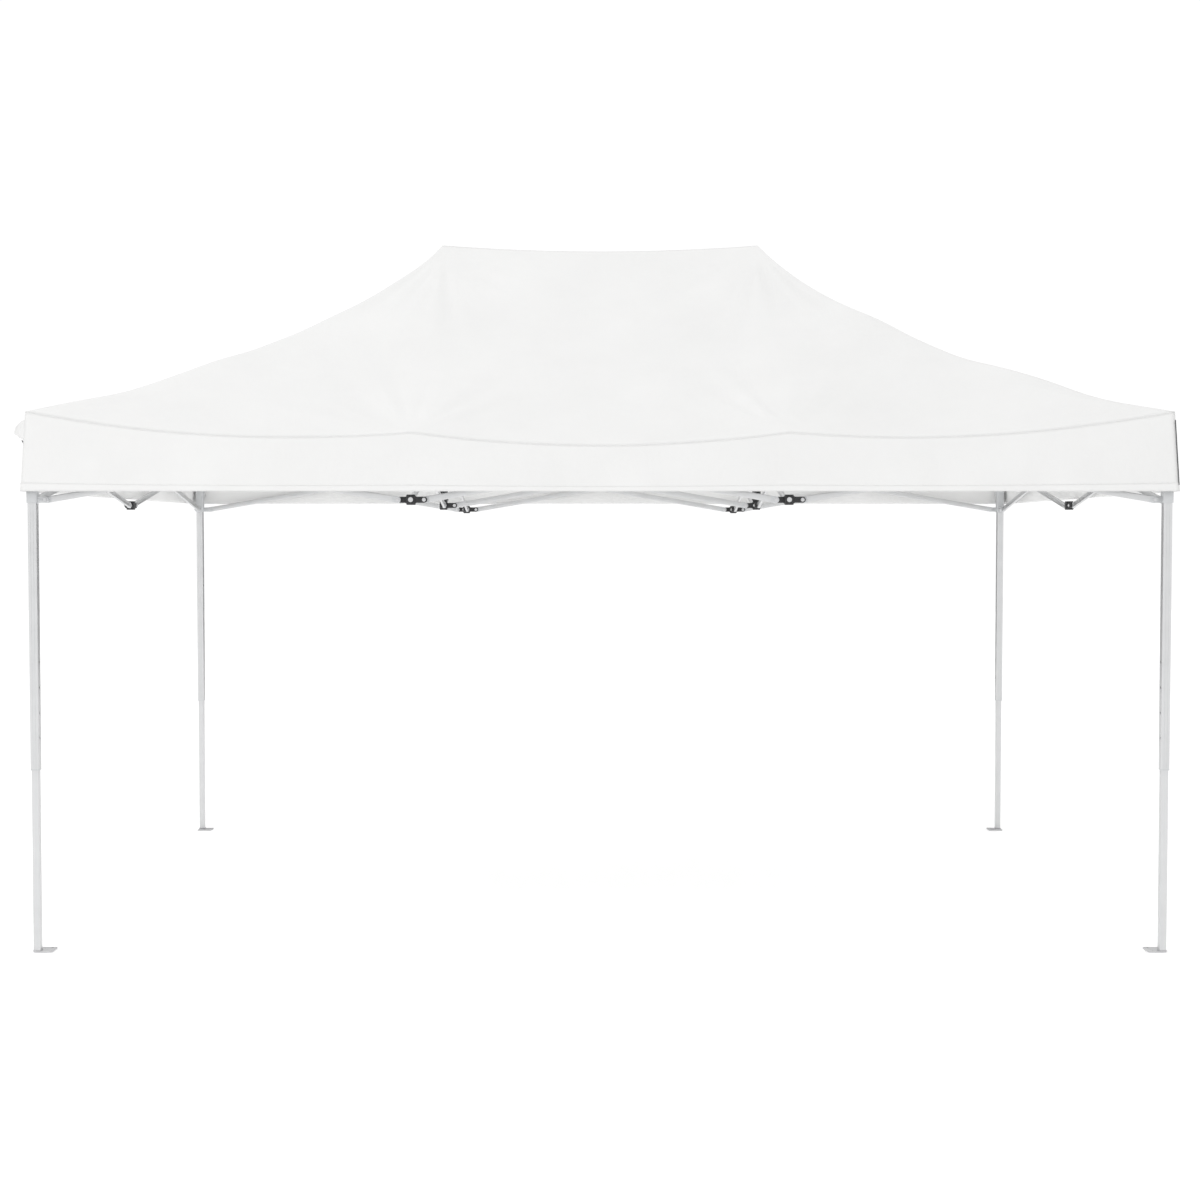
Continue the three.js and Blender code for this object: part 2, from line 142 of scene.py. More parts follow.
class Nodes:
    """A material's node tree around one Principled shader."""

    def __init__(self, name, colour, roughness, metallic=0.0):
        self.material = bpy.data.materials.new(name)
        self.material.use_nodes = True
        self.tree = self.material.node_tree
        self.shader = self.tree.nodes["Principled BSDF"]
        self.material.diffuse_color = (*colour, 1)
        for name, value in (("Base Color", (*colour, 1)), ("Roughness", roughness), ("Metallic", metallic)):
            self.shader.inputs[name].default_value = value

    def add(self, kind, **inputs):
        node = self.tree.nodes.new(kind)
        for key, value in inputs.items():
            self.put(node.inputs[key.replace("_", " ")], value)
        return node

    def put(self, socket, value):
        if isinstance(value, bpy.types.NodeSocket):
            self.tree.links.new(value, socket)
        else:
            socket.default_value = value

    def coordinates(self, output, scale=(1, 1, 1)):
        mapping = self.add("ShaderNodeMapping", Vector=self.add("ShaderNodeTexCoord").outputs[output])
        mapping.inputs["Scale"].default_value = scale
        return mapping.outputs[0]

    def noise(self, vector, scale, detail=3.0, roughness=0.55):
        settings = {"Scale": scale, "Detail": detail, "Roughness": roughness}
        return self.add("ShaderNodeTexNoise", Vector=vector, **settings).outputs[0]

    def ramp(self, value, low, high, to_low=0.0, to_high=1.0):
        node = self.add("ShaderNodeMapRange")
        for index, each in enumerate((value, low, high, to_low, to_high)):
            self.put(node.inputs[index], each)
        return node.outputs[0]

    def mix(self, share, first, second):
        node = self.add("ShaderNodeMix")
        node.data_type = "RGBA"
        self.put(node.inputs["Factor"], share)
        for index, value in ((6, first), (7, second)):
            self.put(node.inputs[index], (*value, 1) if isinstance(value, tuple) else value)
        return node.outputs[2]

    def maths(self, operation, first, second=0.0):
        node = self.add("ShaderNodeMath")
        node.operation = operation
        self.put(node.inputs[0], first)
        self.put(node.inputs[1], second)
        return node.outputs[0]

    def bump(self, height, distance, strength=1.0, normal=None):
        node = self.add("ShaderNodeBump", Height=height, Distance=distance, Strength=strength)
        if normal is not None:
            self.put(node.inputs["Normal"], normal)
        return node.outputs[0]

    def finish(self, colour=None, roughness=None, normal=None):
        for name, value in (("Base Color", colour), ("Roughness", roughness), ("Normal", normal)):
            if value is not None:
                self.put(self.shader.inputs[name], value)
        return self.material


def drawn_aluminium(name, colour, along):
    """Natural anodised aluminium with fine draw lines along one of the piece's own axes."""
    n = Nodes(name, colour, 0.38, 0.85)
    stretch = [DRAW_FINENESS] * 3
    stretch[along] = DRAW_STRETCH
    lines = n.noise(n.coordinates("Object", stretch), 1.0, 4.0, 0.7)
    cloudy = n.noise(n.coordinates("Object", (9, 9, 9)), 1.0, 4.0)
    scuffs = n.noise(n.coordinates("Object", (60, 60, 60)), 1.0, 6.0, 0.75)
    worn = n.ramp(scuffs, 0.62, 0.78, 0.0, 0.5)
    tone = n.mix(n.ramp(cloudy, 0.3, 0.7), shade(colour, 0.93), colour)
    tone = n.mix(worn, tone, shade(colour, 1.08))
    rough = n.ramp(n.maths("ADD", lines, n.maths("MULTIPLY", worn, 0.4)), 0.25, 1.0, 0.30, 0.50)
    return n.finish(tone, rough, n.bump(lines, 0.0002, 0.25))


def moulded_nylon(name, colour):
    """Glass-filled nylon: a fine spark-eroded grain, with duller, paler scuffed patches."""
    n = Nodes(name, colour, 0.55)
    place = n.coordinates("Object")
    grain = n.noise(place, 1400.0, 2.0)
    flow = n.noise(place, 45.0, 5.0, 0.7)
    scuff = n.ramp(flow, 0.55, 0.80)
    tone = n.mix(scuff, colour, tuple(c + 0.035 for c in colour))
    return n.finish(tone, n.ramp(flow, 0.3, 0.8, 0.46, 0.68), n.bump(grain, 0.0002, 0.5))


def plated_steel(name, colour):
    """Zinc-plated steel with fine, duller spots."""
    n = Nodes(name, colour, 0.30, 1.0)
    place = n.coordinates("Object")
    spots = n.noise(place, 320.0, 4.0, 0.7)
    tone = n.mix(n.ramp(spots, 0.35, 0.7), shade(colour, 0.86), colour)
    return n.finish(tone, n.ramp(spots, 0.3, 0.7, 0.24, 0.44), n.bump(spots, 0.0001, 0.4))


def weave(n, threads_per_metre):
    """A plain weave's height, from UV in metres: warp and weft in turn on top."""
    place = n.coordinates("UV", (threads_per_metre, threads_per_metre, 1))
    split = n.add("ShaderNodeSeparateXYZ", Vector=place)
    across = n.maths("SINE", n.maths("MULTIPLY", split.outputs[0], math.pi))
    along = n.maths("SINE", n.maths("MULTIPLY", split.outputs[1], math.pi))
    return n.maths("MULTIPLY", across, along)


def coated_polyester(name, colour, threads_per_metre=900.0):
    """Oxford polyester with a thin coating: plain weave, faint mottling, and crinkles left by folding."""
    n = Nodes(name, colour, 0.72)
    n.shader.inputs["Sheen Weight"].default_value = 0.12
    n.shader.inputs["Sheen Roughness"].default_value = 0.5
    n.shader.inputs["Specular IOR Level"].default_value = 0.35
    soft = n.noise(n.coordinates("UV", (2.2, 2.2, 1)), 1.0, 5.0, 0.6)
    crease = n.noise(n.coordinates("UV", (11, 5, 1)), 1.0, 6.0, 0.62)
    crinkle = n.noise(n.coordinates("UV", (38, 46, 1)), 1.0, 4.0, 0.6)
    tone = n.mix(n.ramp(soft, 0.3, 0.7), shade(colour, 0.965), colour)
    folds = n.bump(crease, 0.006, 0.40)
    folds = n.bump(crinkle, 0.0012, 0.35, folds)
    threads = n.bump(weave(n, threads_per_metre), 0.0002, 0.35, folds)
    return n.finish(tone, n.ramp(crinkle, 0.3, 0.7, 0.64, 0.80), threads)


def stitched_tape(name, colour):
    """Tape with a row of lockstitch near each edge. UV x is metres along it, and y is 0 to 1 across."""
    n = Nodes(name, colour, 0.78)
    split = n.add("ShaderNodeSeparateXYZ", Vector=n.coordinates("UV"))
    dash = n.maths("FRACT", n.maths("MULTIPLY", split.outputs[0], 1 / STITCH_PITCH))
    in_dash = n.maths("LESS_THAN", dash, 0.72)
    from_middle = n.maths("ABSOLUTE", n.maths("SUBTRACT", split.outputs[1], 0.5))
    off_row = n.maths("ABSOLUTE", n.maths("SUBTRACT", from_middle, 0.36))
    on_row = n.ramp(off_row, 0.0, 0.05, 1.0, 0.0)
    thread = n.maths("MULTIPLY", on_row, in_dash)
    pucker = n.ramp(off_row, 0.0, 0.12)
    ribs = n.maths("SINE", n.maths("MULTIPLY", split.outputs[0], 2 * math.pi / TAPE_RIB_PITCH))
    height = n.maths("ADD", n.maths("MULTIPLY", pucker, 0.8), n.maths("MULTIPLY", ribs, 0.15))
    height = n.maths("ADD", height, thread)
    # painted shade: the tape is darkened along each stitch row, as if the puckered groove were in shade;
    # where a stitch lies, the thread keeps the tape's own colour
    tone = n.mix(n.maths("MULTIPLY", on_row, 0.5), colour, shade(colour, 0.88))
    tone = n.mix(thread, tone, colour)
    return n.finish(tone, None, n.bump(height, 0.0004, 0.6))


def webbing(name, colour):
    """Woven strap: ribs across it and a fuzzy, hook-like grain."""
    n = Nodes(name, colour, 0.85)
    place = n.coordinates("Object")
    up = n.add("ShaderNodeSeparateXYZ", Vector=place).outputs[2]
    ribs = n.maths("SINE", n.maths("MULTIPLY", up, 2600.0))
    fuzz = n.noise(place, 900.0, 2.0)
    tone = n.mix(n.ramp(fuzz, 0.35, 0.7), shade(colour, 0.82), colour)
    return n.finish(tone, None, n.bump(n.maths("ADD", fuzz, n.maths("MULTIPLY", ribs, 0.4)), 0.0004, 0.6))


LEG_METAL = drawn_aluminium("leg_aluminium", (0.66, 0.665, 0.67), 2)
BAR_METAL = drawn_aluminium("bar_aluminium", (0.62, 0.625, 0.63), 0)
MAST_METAL = drawn_aluminium("mast_aluminium", (0.64, 0.645, 0.65), 2)
NYLON = moulded_nylon("joint_nylon", (0.022, 0.022, 0.024))
BUSH = moulded_nylon("bush_nylon", (0.55, 0.56, 0.57))
HOOK_TAPE = webbing("hook_tape", (0.10, 0.10, 0.105))
STRAP = webbing("white_strap", (0.72, 0.72, 0.715))
STEEL = plated_steel("plated_steel", (0.66, 0.66, 0.67))
CLOTH = coated_polyester("white_polyester", (0.775, 0.775, 0.770))
TAPE = stitched_tape("white_tape", (0.762, 0.762, 0.757))

# ---- Mesh tools ------------------------------------------

PARTS = {  # what each material makes of a piece, and its slot in the record
    LEG_METAL: ("tube", "leg_aluminium"),
    BAR_METAL: ("bar", "bar_aluminium"),
    MAST_METAL: ("tube", "mast_aluminium"),
    NYLON: ("moulding", "joint_plastic"),
    BUSH: ("bush", "joint_plastic"),
    STEEL: ("fasteners", "rivet_steel"),
}


def add_shape(target, shape):
    """Copies a shape into another one, and frees it."""
    mesh = bpy.data.meshes.new("shape")
    shape.to_mesh(mesh)
    shape.free()
    target.from_mesh(mesh)
    bpy.data.meshes.remove(mesh)


def smooth_mesh(name, shape, material):
    """A mesh from a shape, smooth but for its sharp edges. The shape is freed."""
    mesh = bpy.data.meshes.new(name)
    for face in shape.faces:
        face.smooth = True
    shape.to_mesh(mesh)
    shape.free()
    mesh.materials.append(material)
    mesh.set_sharp_from_angle(angle=math.radians(40))
    return mesh


def new_object(name, mesh):
    made = bpy.data.objects.new(name, mesh)
    bpy.context.scene.collection.objects.link(made)
    return made


class Build:
    """Gathers the shapes of one piece, a mesh for each material. place moves what is taken next."""

    def __init__(self):
        self.shapes = {}
        self.place = Matrix()

    def take(self, shape, material, matrix=Matrix()):
        shape.transform(self.place @ matrix)
        bmesh.ops.recalc_face_normals(shape, faces=shape.faces)
        add_shape(self.shapes.setdefault(material, bmesh.new()), shape)

    def finish(self, name):
        """The piece's meshes by material."""
        return {material: smooth_mesh(f"{name}_{PARTS[material][0]}", shape, material)
                for material, shape in self.shapes.items()}


def add_pieces(node, body, meshes, place):
    """Puts a node's meshes in place, riding on its body. Together they stand for the node."""
    for material, mesh in meshes.items():
        suffix, slot = PARTS[material]
        made = new_object(f"{node}_{suffix}", mesh)
        made.matrix_world = place
        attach(made, body)
        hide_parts(node)


def turned(degrees, axis="Z"):
    return Matrix.Rotation(math.radians(degrees), 4, axis)


def node_place(column, row):
    return Matrix.Translation((COLUMNS[column], ROWS[row], 0))


def bevel(shape, size, segments=2, least_angle=30):
    sharp = math.radians(least_angle)
    edges = [edge for edge in shape.edges if edge.is_manifold and edge.calc_face_angle(0) > sharp]
    bmesh.ops.bevel(shape, geom=edges, offset=size, segments=segments, profile=0.5, affect="EDGES")
    return shape


def block(low, high, rounding=0.001):
    shape = bmesh.new()
    bmesh.ops.create_cube(shape, size=1)
    low, high = Vector(low), Vector(high)
    shape.transform(Matrix.Translation((low + high) / 2) @ Matrix.Diagonal((*(high - low), 1)))
    return bevel(shape, rounding)


def prism(outline, y0, y1, rounding=0.0005, segments=2):
    """An outline of (x, z) points given thickness along Y."""
    shape = bmesh.new()
    face = shape.faces.new([shape.verts.new((x, y0, z)) for x, z in outline])
    moved = bmesh.ops.extrude_face_region(shape, geom=[face])["geom"]
    far = [each for each in moved if isinstance(each, bmesh.types.BMVert)]
    bmesh.ops.translate(shape, vec=(0, y1 - y0, 0), verts=far)
    return bevel(shape, rounding, segments, 50)


def skin(shape, rings, closed=False):
    """Joins each ring of vertices to the next with faces. If closed, the last one joins the first."""
    for lower, upper in zip(rings, rings[1:] + (rings[:1] if closed else [])):
        for k in range(len(lower)):
            j = (k + 1) % len(lower)
            corners = list(dict.fromkeys((lower[k], lower[j], upper[j], upper[k])))
            if len(corners) > 2:
                shape.faces.new(corners)


def arc(x, z, radius, start, end, steps):
    angles = [math.radians(start + (end - start) * k / steps) for k in range(steps + 1)]
    return [(x + radius * math.cos(a), z + radius * math.sin(a)) for a in angles]


def circle(radius, steps):
    return arc(0, 0, radius, 0, 360, steps)[:-1]


def lathe(profile, steps=24, closed=False):
    """Turns (radius, z) points round Z. A closed profile makes a ring or a tube."""
    shape = bmesh.new()
    rings = []
    for radius, z in profile:
        if radius == 0:
            rings.append([shape.verts.new((0, 0, z))] * steps)
        else:
            rings.append([shape.verts.new((x, y, z)) for x, y in circle(radius, steps)])
    skin(shape, rings, closed)
    return shape


def rod(radius, z0, z1, edge=0.0004, steps=24):
    side = [(radius, z0 + edge), (radius, z1 - edge)]
    return lathe([(0, z0), (radius - edge, z0), *side, (radius - edge, z1), (0, z1)], steps)


def square_ring(half, radius, steps=4, grooves=(), depth=0.0):
    """A square's outline with rounded corners. grooves are places along its front and back sides."""
    points = []
    middle = half - radius
    for quarter, (sx, sy) in enumerate(((1, 1), (-1, 1), (-1, -1), (1, -1))):
        points += arc(sx * middle, sy * middle, radius, 90 * quarter, 90 * quarter + 90, steps)
        if sx == sy:
            for place in grooves:
                for offset, sunk in ((1, 0), (0.5, depth), (-0.5, depth), (-1, 0)):
                    points.append((sx * (place + offset * GROOVE_HALF), sy * (half - sunk)))
    return points


def square_shell(levels, closed=True, grooves=(), depths=None):
    """A body of square rings, each (half width, corner radius, z). It closes on itself, or is capped."""
    shape = bmesh.new()
    rings = []
    for (half, radius, z), depth in zip(levels, depths or [0.0] * len(levels)):
        outline = square_ring(half, radius, grooves=grooves, depth=depth)
        rings.append([shape.verts.new((x, y, z)) for x, y in outline])
    skin(shape, rings, closed)
    if not closed:
        shape.faces.new(rings[0])
        shape.faces.new(rings[-1])
    return shape


def square_tube(half, bore, radius, z0, z1, edge=0.0004, grooves=()):
    """A square tube, open at both ends, with softened rims."""
    inner = max(radius - (half - bore), 0.0004)
    outside = [(half, radius, z0 + edge), (half, radius, z1 - edge), (half - edge, radius, z1)]
    inside = [(bore + edge, inner, z1), (bore, inner, z1 - edge), (bore, inner, z0 + edge),
              (bore + edge, inner, z0)]
    sunk = GROOVE_DEPTH - edge
    depths = [GROOVE_DEPTH, GROOVE_DEPTH, sunk, 0.0, 0.0, 0.0, 0.0, sunk]
    return square_shell([*outside, *inside, (half - edge, radius, z0)], True, grooves, depths)


def around_y(y, sign=1, x=0.0, z=0.0):
    """Places a shape that stands on Z = 0 so that it stands out from the plane at y, towards sign * Y."""
    return Matrix.Translation((x, y, z)) @ turned(-90 * sign, "X")


# ---- Fasteners -------------------------------------------


def add_fastener(build, x, y, z, sign, thickness, nut):
    """A washer and a hexagon, standing out from the plane at y. A lock nut also has a nylon insert."""
    build.take(rod(WASHER_RADIUS, 0, 0.0008, 0.0002), STEEL, around_y(y, sign, x, z))
    low, high = sorted((y + sign * 0.0007, y + sign * (0.0007 + thickness)))
    hexagon = [(x + px, z + pz) for px, pz in arc(0, 0, NUT_RADIUS, 15, 375, 6)[:-1]]
    build.take(prism(hexagon, low, high, 0.0004), STEEL)
    if nut:
        build.take(rod(0.0044, 0, thickness + 0.0016, 0.0006, 16), BUSH, around_y(y, sign, x, z))


def add_bolt(build, x, z, head_y, nut_y):
    """A hexagon bolt along Y, from its head at head_y to its nut at nut_y."""
    sign = 1 if nut_y > head_y else -1
    add_fastener(build, x, head_y, z, -sign, 0.0030, False)
    add_fastener(build, x, nut_y, z, sign, 0.0034, True)
    build.take(rod(BOLT_RADIUS, 0, abs(nut_y - head_y), 0.0001, 16), STEEL, around_y(head_y, sign, x, z))


def add_rivet(build, y0, y1):
    """A bay's centre rivet: a domed head on each outer face, and a nylon spacer between the bars."""
    dome = arc(0, -0.0026, 0.0084, 20, 90, 5)
    for y, sign in ((y0, -1), (y1, 1)):
        profile = [(0, 0), (dome[0][0], 0), *[(r, h) for r, h in dome[:-1] if h > 0], (0, dome[-1][1])]
        build.take(lathe(profile), STEEL, around_y(y, sign))
    build.take(rod(BOLT_RADIUS, 0, y1 - y0, 0.0001, 16), STEEL, around_y(y0))
    gap = 0.0002
    build.take(rod(0.0105, 0, 2 * (LAYER_INNER - gap), 0.0003), NYLON, around_y(gap - LAYER_INNER))


# ---- Bars ------------------------------------------------


def bar_meshes(name, side, with_rivet):
    """A flat oval bar with a nylon shoe on each end. side is the side of the truss that it lies on."""
    half, radius = BAR_LENGTH / 2, BAR_HEIGHT / 2
    y0, y1 = sorted((side * LAYER_INNER, side * LAYER_OUTER))
    build = Build()
    outline = arc(half - 0.004, 0, radius, -90, 90, 12) + arc(0.004 - half, 0, radius, 90, 270, 12)
    build.take(prism(outline, y0, y1, 0.0035, 4), BAR_METAL)
    root, around = half - 0.021, radius + 0.0005
    shoe = arc(half, 0, around, -90, 90, 12) + [(root, around), (root, -around)]
    for end in (0, 180):
        build.place = turned(end, "Y")
        build.take(prism(shoe, y0 - 0.0004, y1 + 0.0004, 0.0026, 3), BUSH)
        build.take(block((root - 0.004, y0 + 0.0035, -0.0045), (root + 0.001, y1 - 0.0035, 0.0045)), BUSH)
    build.place = Matrix()
    if with_rivet:
        add_rivet(build, -LAYER_OUTER, LAYER_OUTER)
    return build.finish(name)


def make_bars():
    meshes = {"a": bar_meshes("falling", -1, True), "b": bar_meshes("rising", 1, False)}
    bays = [(f"{row}_{bay}", (i - 1) * PITCH, y, 0)
            for row, y in (("front", ROWS[0]), ("back", ROWS[2]))
            for i, bay in enumerate(("left", "middle", "right"))]
    bays.append(("ridge", 0.0, 0.0, 0))
    bays += [(f"{column}_{bay}", COLUMNS[i], (j - 0.5) * PITCH, 90)
             for i, column in enumerate(("left_side", "left_cross", "right_cross", "right_side"))
             for j, bay in enumerate(("front", "back"))]
    for name, x, y, turn in bays:
        bay = Matrix.Translation((x, y, (UPPER_Z + LOWER_Z) / 2)) @ turned(turn)
        for letter, tilt in (("a", BAR_TILT), ("b", -BAR_TILT)):
            node = f"{name}_bar_{letter}"
            add_pieces(node, node, meshes[letter], bay @ Matrix.Rotation(tilt, 4, "Y"))


# ---- Joints ----------------------------------------------

DIRECTIONS = {"right": (1, 0), "left": (-1, 0), "back": (1, 90), "front": (-1, 90)}
OUTWARD_TURN = {"front": 0, "right": 90, "back": 180, "left": 270}


def add_arms(build, directions, level, root, nylon=NYLON):
    """A joint's ears, each with a rib and its bolt. root is how far out the joint's face is."""
    for direction in directions:
        along, quarter_turn = DIRECTIONS[direction]
        z = UPPER_Z if level == "upper" else LOWER_Z
        place = Matrix.Translation((0, 0, z)) @ turned(quarter_turn)
        if level == "lower":
            place = place @ Matrix.Diagonal((1, -1, 1, 1))
        build.place = place @ turned(180) if along < 0 else place
        back, radius = root - 0.002, EAR_RADIUS
        ear = [*arc(PIVOT_REACH, 0, radius, -90, 90, 12), (back + 0.006, radius), (back, radius + 0.004),
               (back, -radius - 0.004), (back + 0.006, -radius)]
        build.take(prism(ear, LAYER_INNER, LAYER_OUTER, 0.0014, 3), nylon)
        build.take(lathe([(0, 0), (0.0100, 0), (0.0092, 0.0010), (0, 0.0010)]), nylon,
                   around_y(LAYER_OUTER, 1, PIVOT_REACH))
        rib = (back, LAYER_OUTER - 0.002, -0.0025), (PIVOT_REACH - 0.0105, LAYER_OUTER + 0.0022, 0.0025)
        build.take(block(*rib, 0.0008), nylon)
        add_bolt(build, PIVOT_REACH, 0, -LAYER_OUTER - 0.0006, LAYER_OUTER + 0.0010)
    build.place = Matrix()


def add_socket(build, z, turn):
    """A joint's outward face: a round socket with a thick lip, and the bright end of a tube inside it."""
    build.place = turned(turn)
    lip = [(0.0135, -0.001), (0.0135, 0.0028), (0.0128, 0.0036),
           (0.0108, 0.0036), (0.0102, 0.0028), (0.0102, -0.001)]
    build.take(lathe(lip, 32, True), NYLON, around_y(-JOINT_HALF, -1, 0, z))
    build.take(rod(0.0101, -0.001, 0.0010, 0.0006, 32), BAR_METAL, around_y(-JOINT_HALF, -1, 0, z))
    build.place = Matrix()


def add_joint_block(build, z):
    """A moulded block with soft edges, and a step round its top and bottom."""
    low, high = z - JOINT_HALF_HEIGHT, z + JOINT_HALF_HEIGHT
    steps = [(0.0030, 0.0), (0.0016, 0.0006), (0.0012, 0.0050), (0.0, 0.0062)]  # in from the side, and up
    levels = [(JOINT_HALF - inset, 0.0040, low + up) for inset, up in steps]
    levels += [(JOINT_HALF - inset, 0.0040, high - up) for inset, up in reversed(steps)]
    build.take(square_shell(levels, closed=False), NYLON)


def make_side_joint(name, column, row):
    facing = name.split("_")[0]
    directions = ("front", "back") if row == 1 else ("left", "right", "back" if row == 0 else "front")
    for level, z in (("upper", UPPER_Z), ("lower", LOWER_Z)):
        build = Build()
        add_joint_block(build, z)
        add_socket(build, z, OUTWARD_TURN[facing])
        add_arms(build, directions, level, JOINT_HALF)
        node = f"{name}_{level}"
        add_pieces(node, node, build.finish(node), node_place(column, row))


def make_guide_hub(name, directions, place):
    """The upper hub that a mast slides in, with the guide sleeve and its ribs below it."""
    low, high = UPPER_Z - JOINT_HALF_HEIGHT, UPPER_Z + JOINT_HALF_HEIGHT
    foot, half, bore = GUIDE_BOTTOM_Z, HUB_HALF, GUIDE_BORE
    build = Build()
    build.take(square_shell([
        (half, 0.005, low + 0.0008), (half, 0.005, high - 0.0008), (half - 0.0008, 0.005, high),
        (bore + 0.002, bore, high), (bore, bore, high - 0.001), (bore, bore, low + 0.001),
        (bore + 0.002, bore, low), (half - 0.0008, 0.005, low)]), NYLON)
    build.take(lathe([
        (0.0200, low + 0.004), (0.0200, foot + 0.008), (0.0212, foot + 0.006), (0.0212, foot + 0.001),
        (0.0202, foot), (bore + 0.0005, foot), (bore, foot + 0.0005), (bore, low + 0.004)], 40, True), NYLON)
    for turn in (45, 135, 225, 315):
        build.place = turned(turn)
        build.take(block((0.0192, -0.0015, low - 0.055), (0.0235, 0.0015, low + 0.002), 0.0008), NYLON)
    add_arms(build, directions, "upper", HUB_HALF)
    node = f"{name}_mast_guide_hub"
    add_pieces(node, "left_upper_hub" if name == "left" else node, build.finish(node), place)


def make_mast(name, directions, place):
    """The mast on its lower joint, with a collar at its foot and a nylon crown under the roof's peak."""
    build = Build()
    add_joint_block(build, LOWER_Z)
    collar = LOWER_Z + JOINT_HALF_HEIGHT
    build.take(lathe([(0.0142, collar - 0.002), (0.0176, collar - 0.002), (0.0168, collar + 0.0035),
                      (0.0142, collar + 0.0035)], 40, True), NYLON)
    build.take(rod(0.014, LOWER_Z, MAST_TOP_Z - 0.020, 0.0006, 40), MAST_METAL)
    crown = [*arc(0, MAST_TOP_Z - 0.015, 0.0152, 0, 90, 10)[:-1], (0, MAST_TOP_Z + 0.0002)]
    skirt = MAST_TOP_Z - 0.052
    build.take(lathe([(0, skirt), (0.0146, skirt), (0.0152, skirt + 0.002), *crown], 40), NYLON)
    add_arms(build, directions, "lower", JOINT_HALF)
    node = f"{name}_mast"
    add_pieces(node, node, build.finish(node), place)


# ---- Legs ------------------------------------------------


def holed_wall(z0, z1, holes, width):
    """A flat strip in the YZ plane with round holes at these heights."""
    shape = bmesh.new()
    half, margin = width / 2, 0.012
    levels = [z0] + [edge for z in holes for edge in (z - margin, z + margin)] + [z1]
    for low, high in zip(levels[::2], levels[1::2]):
        corners = (-half, low), (half, low), (half, high), (-half, high)
        shape.faces.new([shape.verts.new((0, y, z)) for y, z in corners])
    for z in holes:
        inside, around = [], []
        for y, up in circle(HOLE_RADIUS, HOLE_STEPS):
            scale = min(half / max(abs(y), 1e-9), margin / max(abs(up), 1e-9))
            inside.append(shape.verts.new((0, y, z + up)))
            around.append(shape.verts.new((0, y * scale, z + up * scale)))
        skin(shape, [inside, around])
    bmesh.ops.remove_doubles(shape, verts=shape.verts, dist=1e-6)
    return shape


def leg_tube(in_x, z0, z1, holes):
    """The outer leg: a square tube whose inward face has a row of height holes cut through it."""
    half, bore, radius, edge = OUTER_TUBE / 2, OUTER_TUBE / 2 - OUTER_WALL, 0.0030, 0.0003
    shape = square_tube(half, bore, radius, z0, z1, edge, GROOVES)
    for face in list(shape.faces):
        centre = face.calc_center_median()
        if centre.x * in_x > bore - 1e-4 and abs(centre.y) < 1e-4 and face.calc_area() > 0.01:
            shape.faces.remove(face)
    for x, width in ((half, 2 * (half - radius)), (bore, 2 * (bore - max(radius - OUTER_WALL, 0.0004)))):
        wall = holed_wall(z0 + edge, z1 - edge, holes, width)
        wall.transform(Matrix.Translation((x * in_x, 0, 0)))
        add_shape(shape, wall)
    for z in holes:
        skin(shape, [[shape.verts.new((x * in_x, y, z + up)) for y, up in circle(HOLE_RADIUS, HOLE_STEPS)]
                     for x in (half, bore)])
    bmesh.ops.remove_doubles(shape, verts=shape.verts, dist=2e-6)
    return shape


def make_outer_leg(name, place, in_x, in_y, directions):
    """The outer tube with its corner bracket, screws, end lip and the button that locks the height."""
    low, half, lip, foot = UPPER_Z - JOINT_HALF_HEIGHT, BRACKET_HALF, OUTER_TUBE / 2, OUTER_BOTTOM_Z
    build = Build()
    build.take(leg_tube(in_x, foot, UPPER_Z, HEIGHT_HOLES_Z), LEG_METAL)
    build.take(square_shell([
        (half - 0.0012, 0.004, low), (half, 0.005, low + 0.0012), (half, 0.005, LEG_TOP_Z - 0.006),
        (half - 0.0022, 0.005, LEG_TOP_Z - 0.0018), (half - 0.006, 0.006, LEG_TOP_Z)], closed=False), BUSH)
    build.take(square_tube(lip + 0.0003, 0.0146, 0.0032, foot - 0.0022, foot + 0.0020, 0.0006), BUSH)
    screw = [(0, 0), (0.0052, 0), (0.0050, 0.0009), (0.0030, 0.0016), (0, 0.0018)]
    for z in (low + 0.010, UPPER_Z + 0.050):
        for turn, sign in ((0, -in_y), (90, in_x)):
            build.place = turned(turn)
            build.take(lathe(screw, 20), STEEL, around_y(sign * half, sign, 0, z))
    build.place = turned(-90 * in_x)
    button = [(0, -0.0022), (0.0042, -0.0022), *arc(0, 0.0008, 0.0042, 0, 90, 6)[:-1], (0, 0.0050)]
    build.take(lathe(button), STEEL, around_y(lip, 1, 0, HEIGHT_HOLES_Z[0]))
    build.place = Matrix()
    add_arms(build, directions, "upper", BRACKET_HALF, BUSH)
    node = f"{name}_leg_outer"
    add_pieces(node, node, build.finish(node), place)


def make_inner_leg(name, place, in_x, in_y):
    """The inner tube, welded to its foot plate."""
    half, foot = INNER_TUBE / 2, FOOT_THICKNESS
    build = Build()
    build.take(square_tube(half, half - 0.0015, 0.0028, foot, INNER_TOP_Z, 0.0003), LEG_METAL)
    build.take(foot_plate(in_x, in_y), STEEL)
    weld = square_tube(half + 0.0026, half - 0.0005, 0.0050, foot - 0.0005, foot + 0.0028, 0.0020)
    build.take(weld, STEEL)
    node = f"{name}_leg_inner"
    add_pieces(node, node, build.finish(node), place)


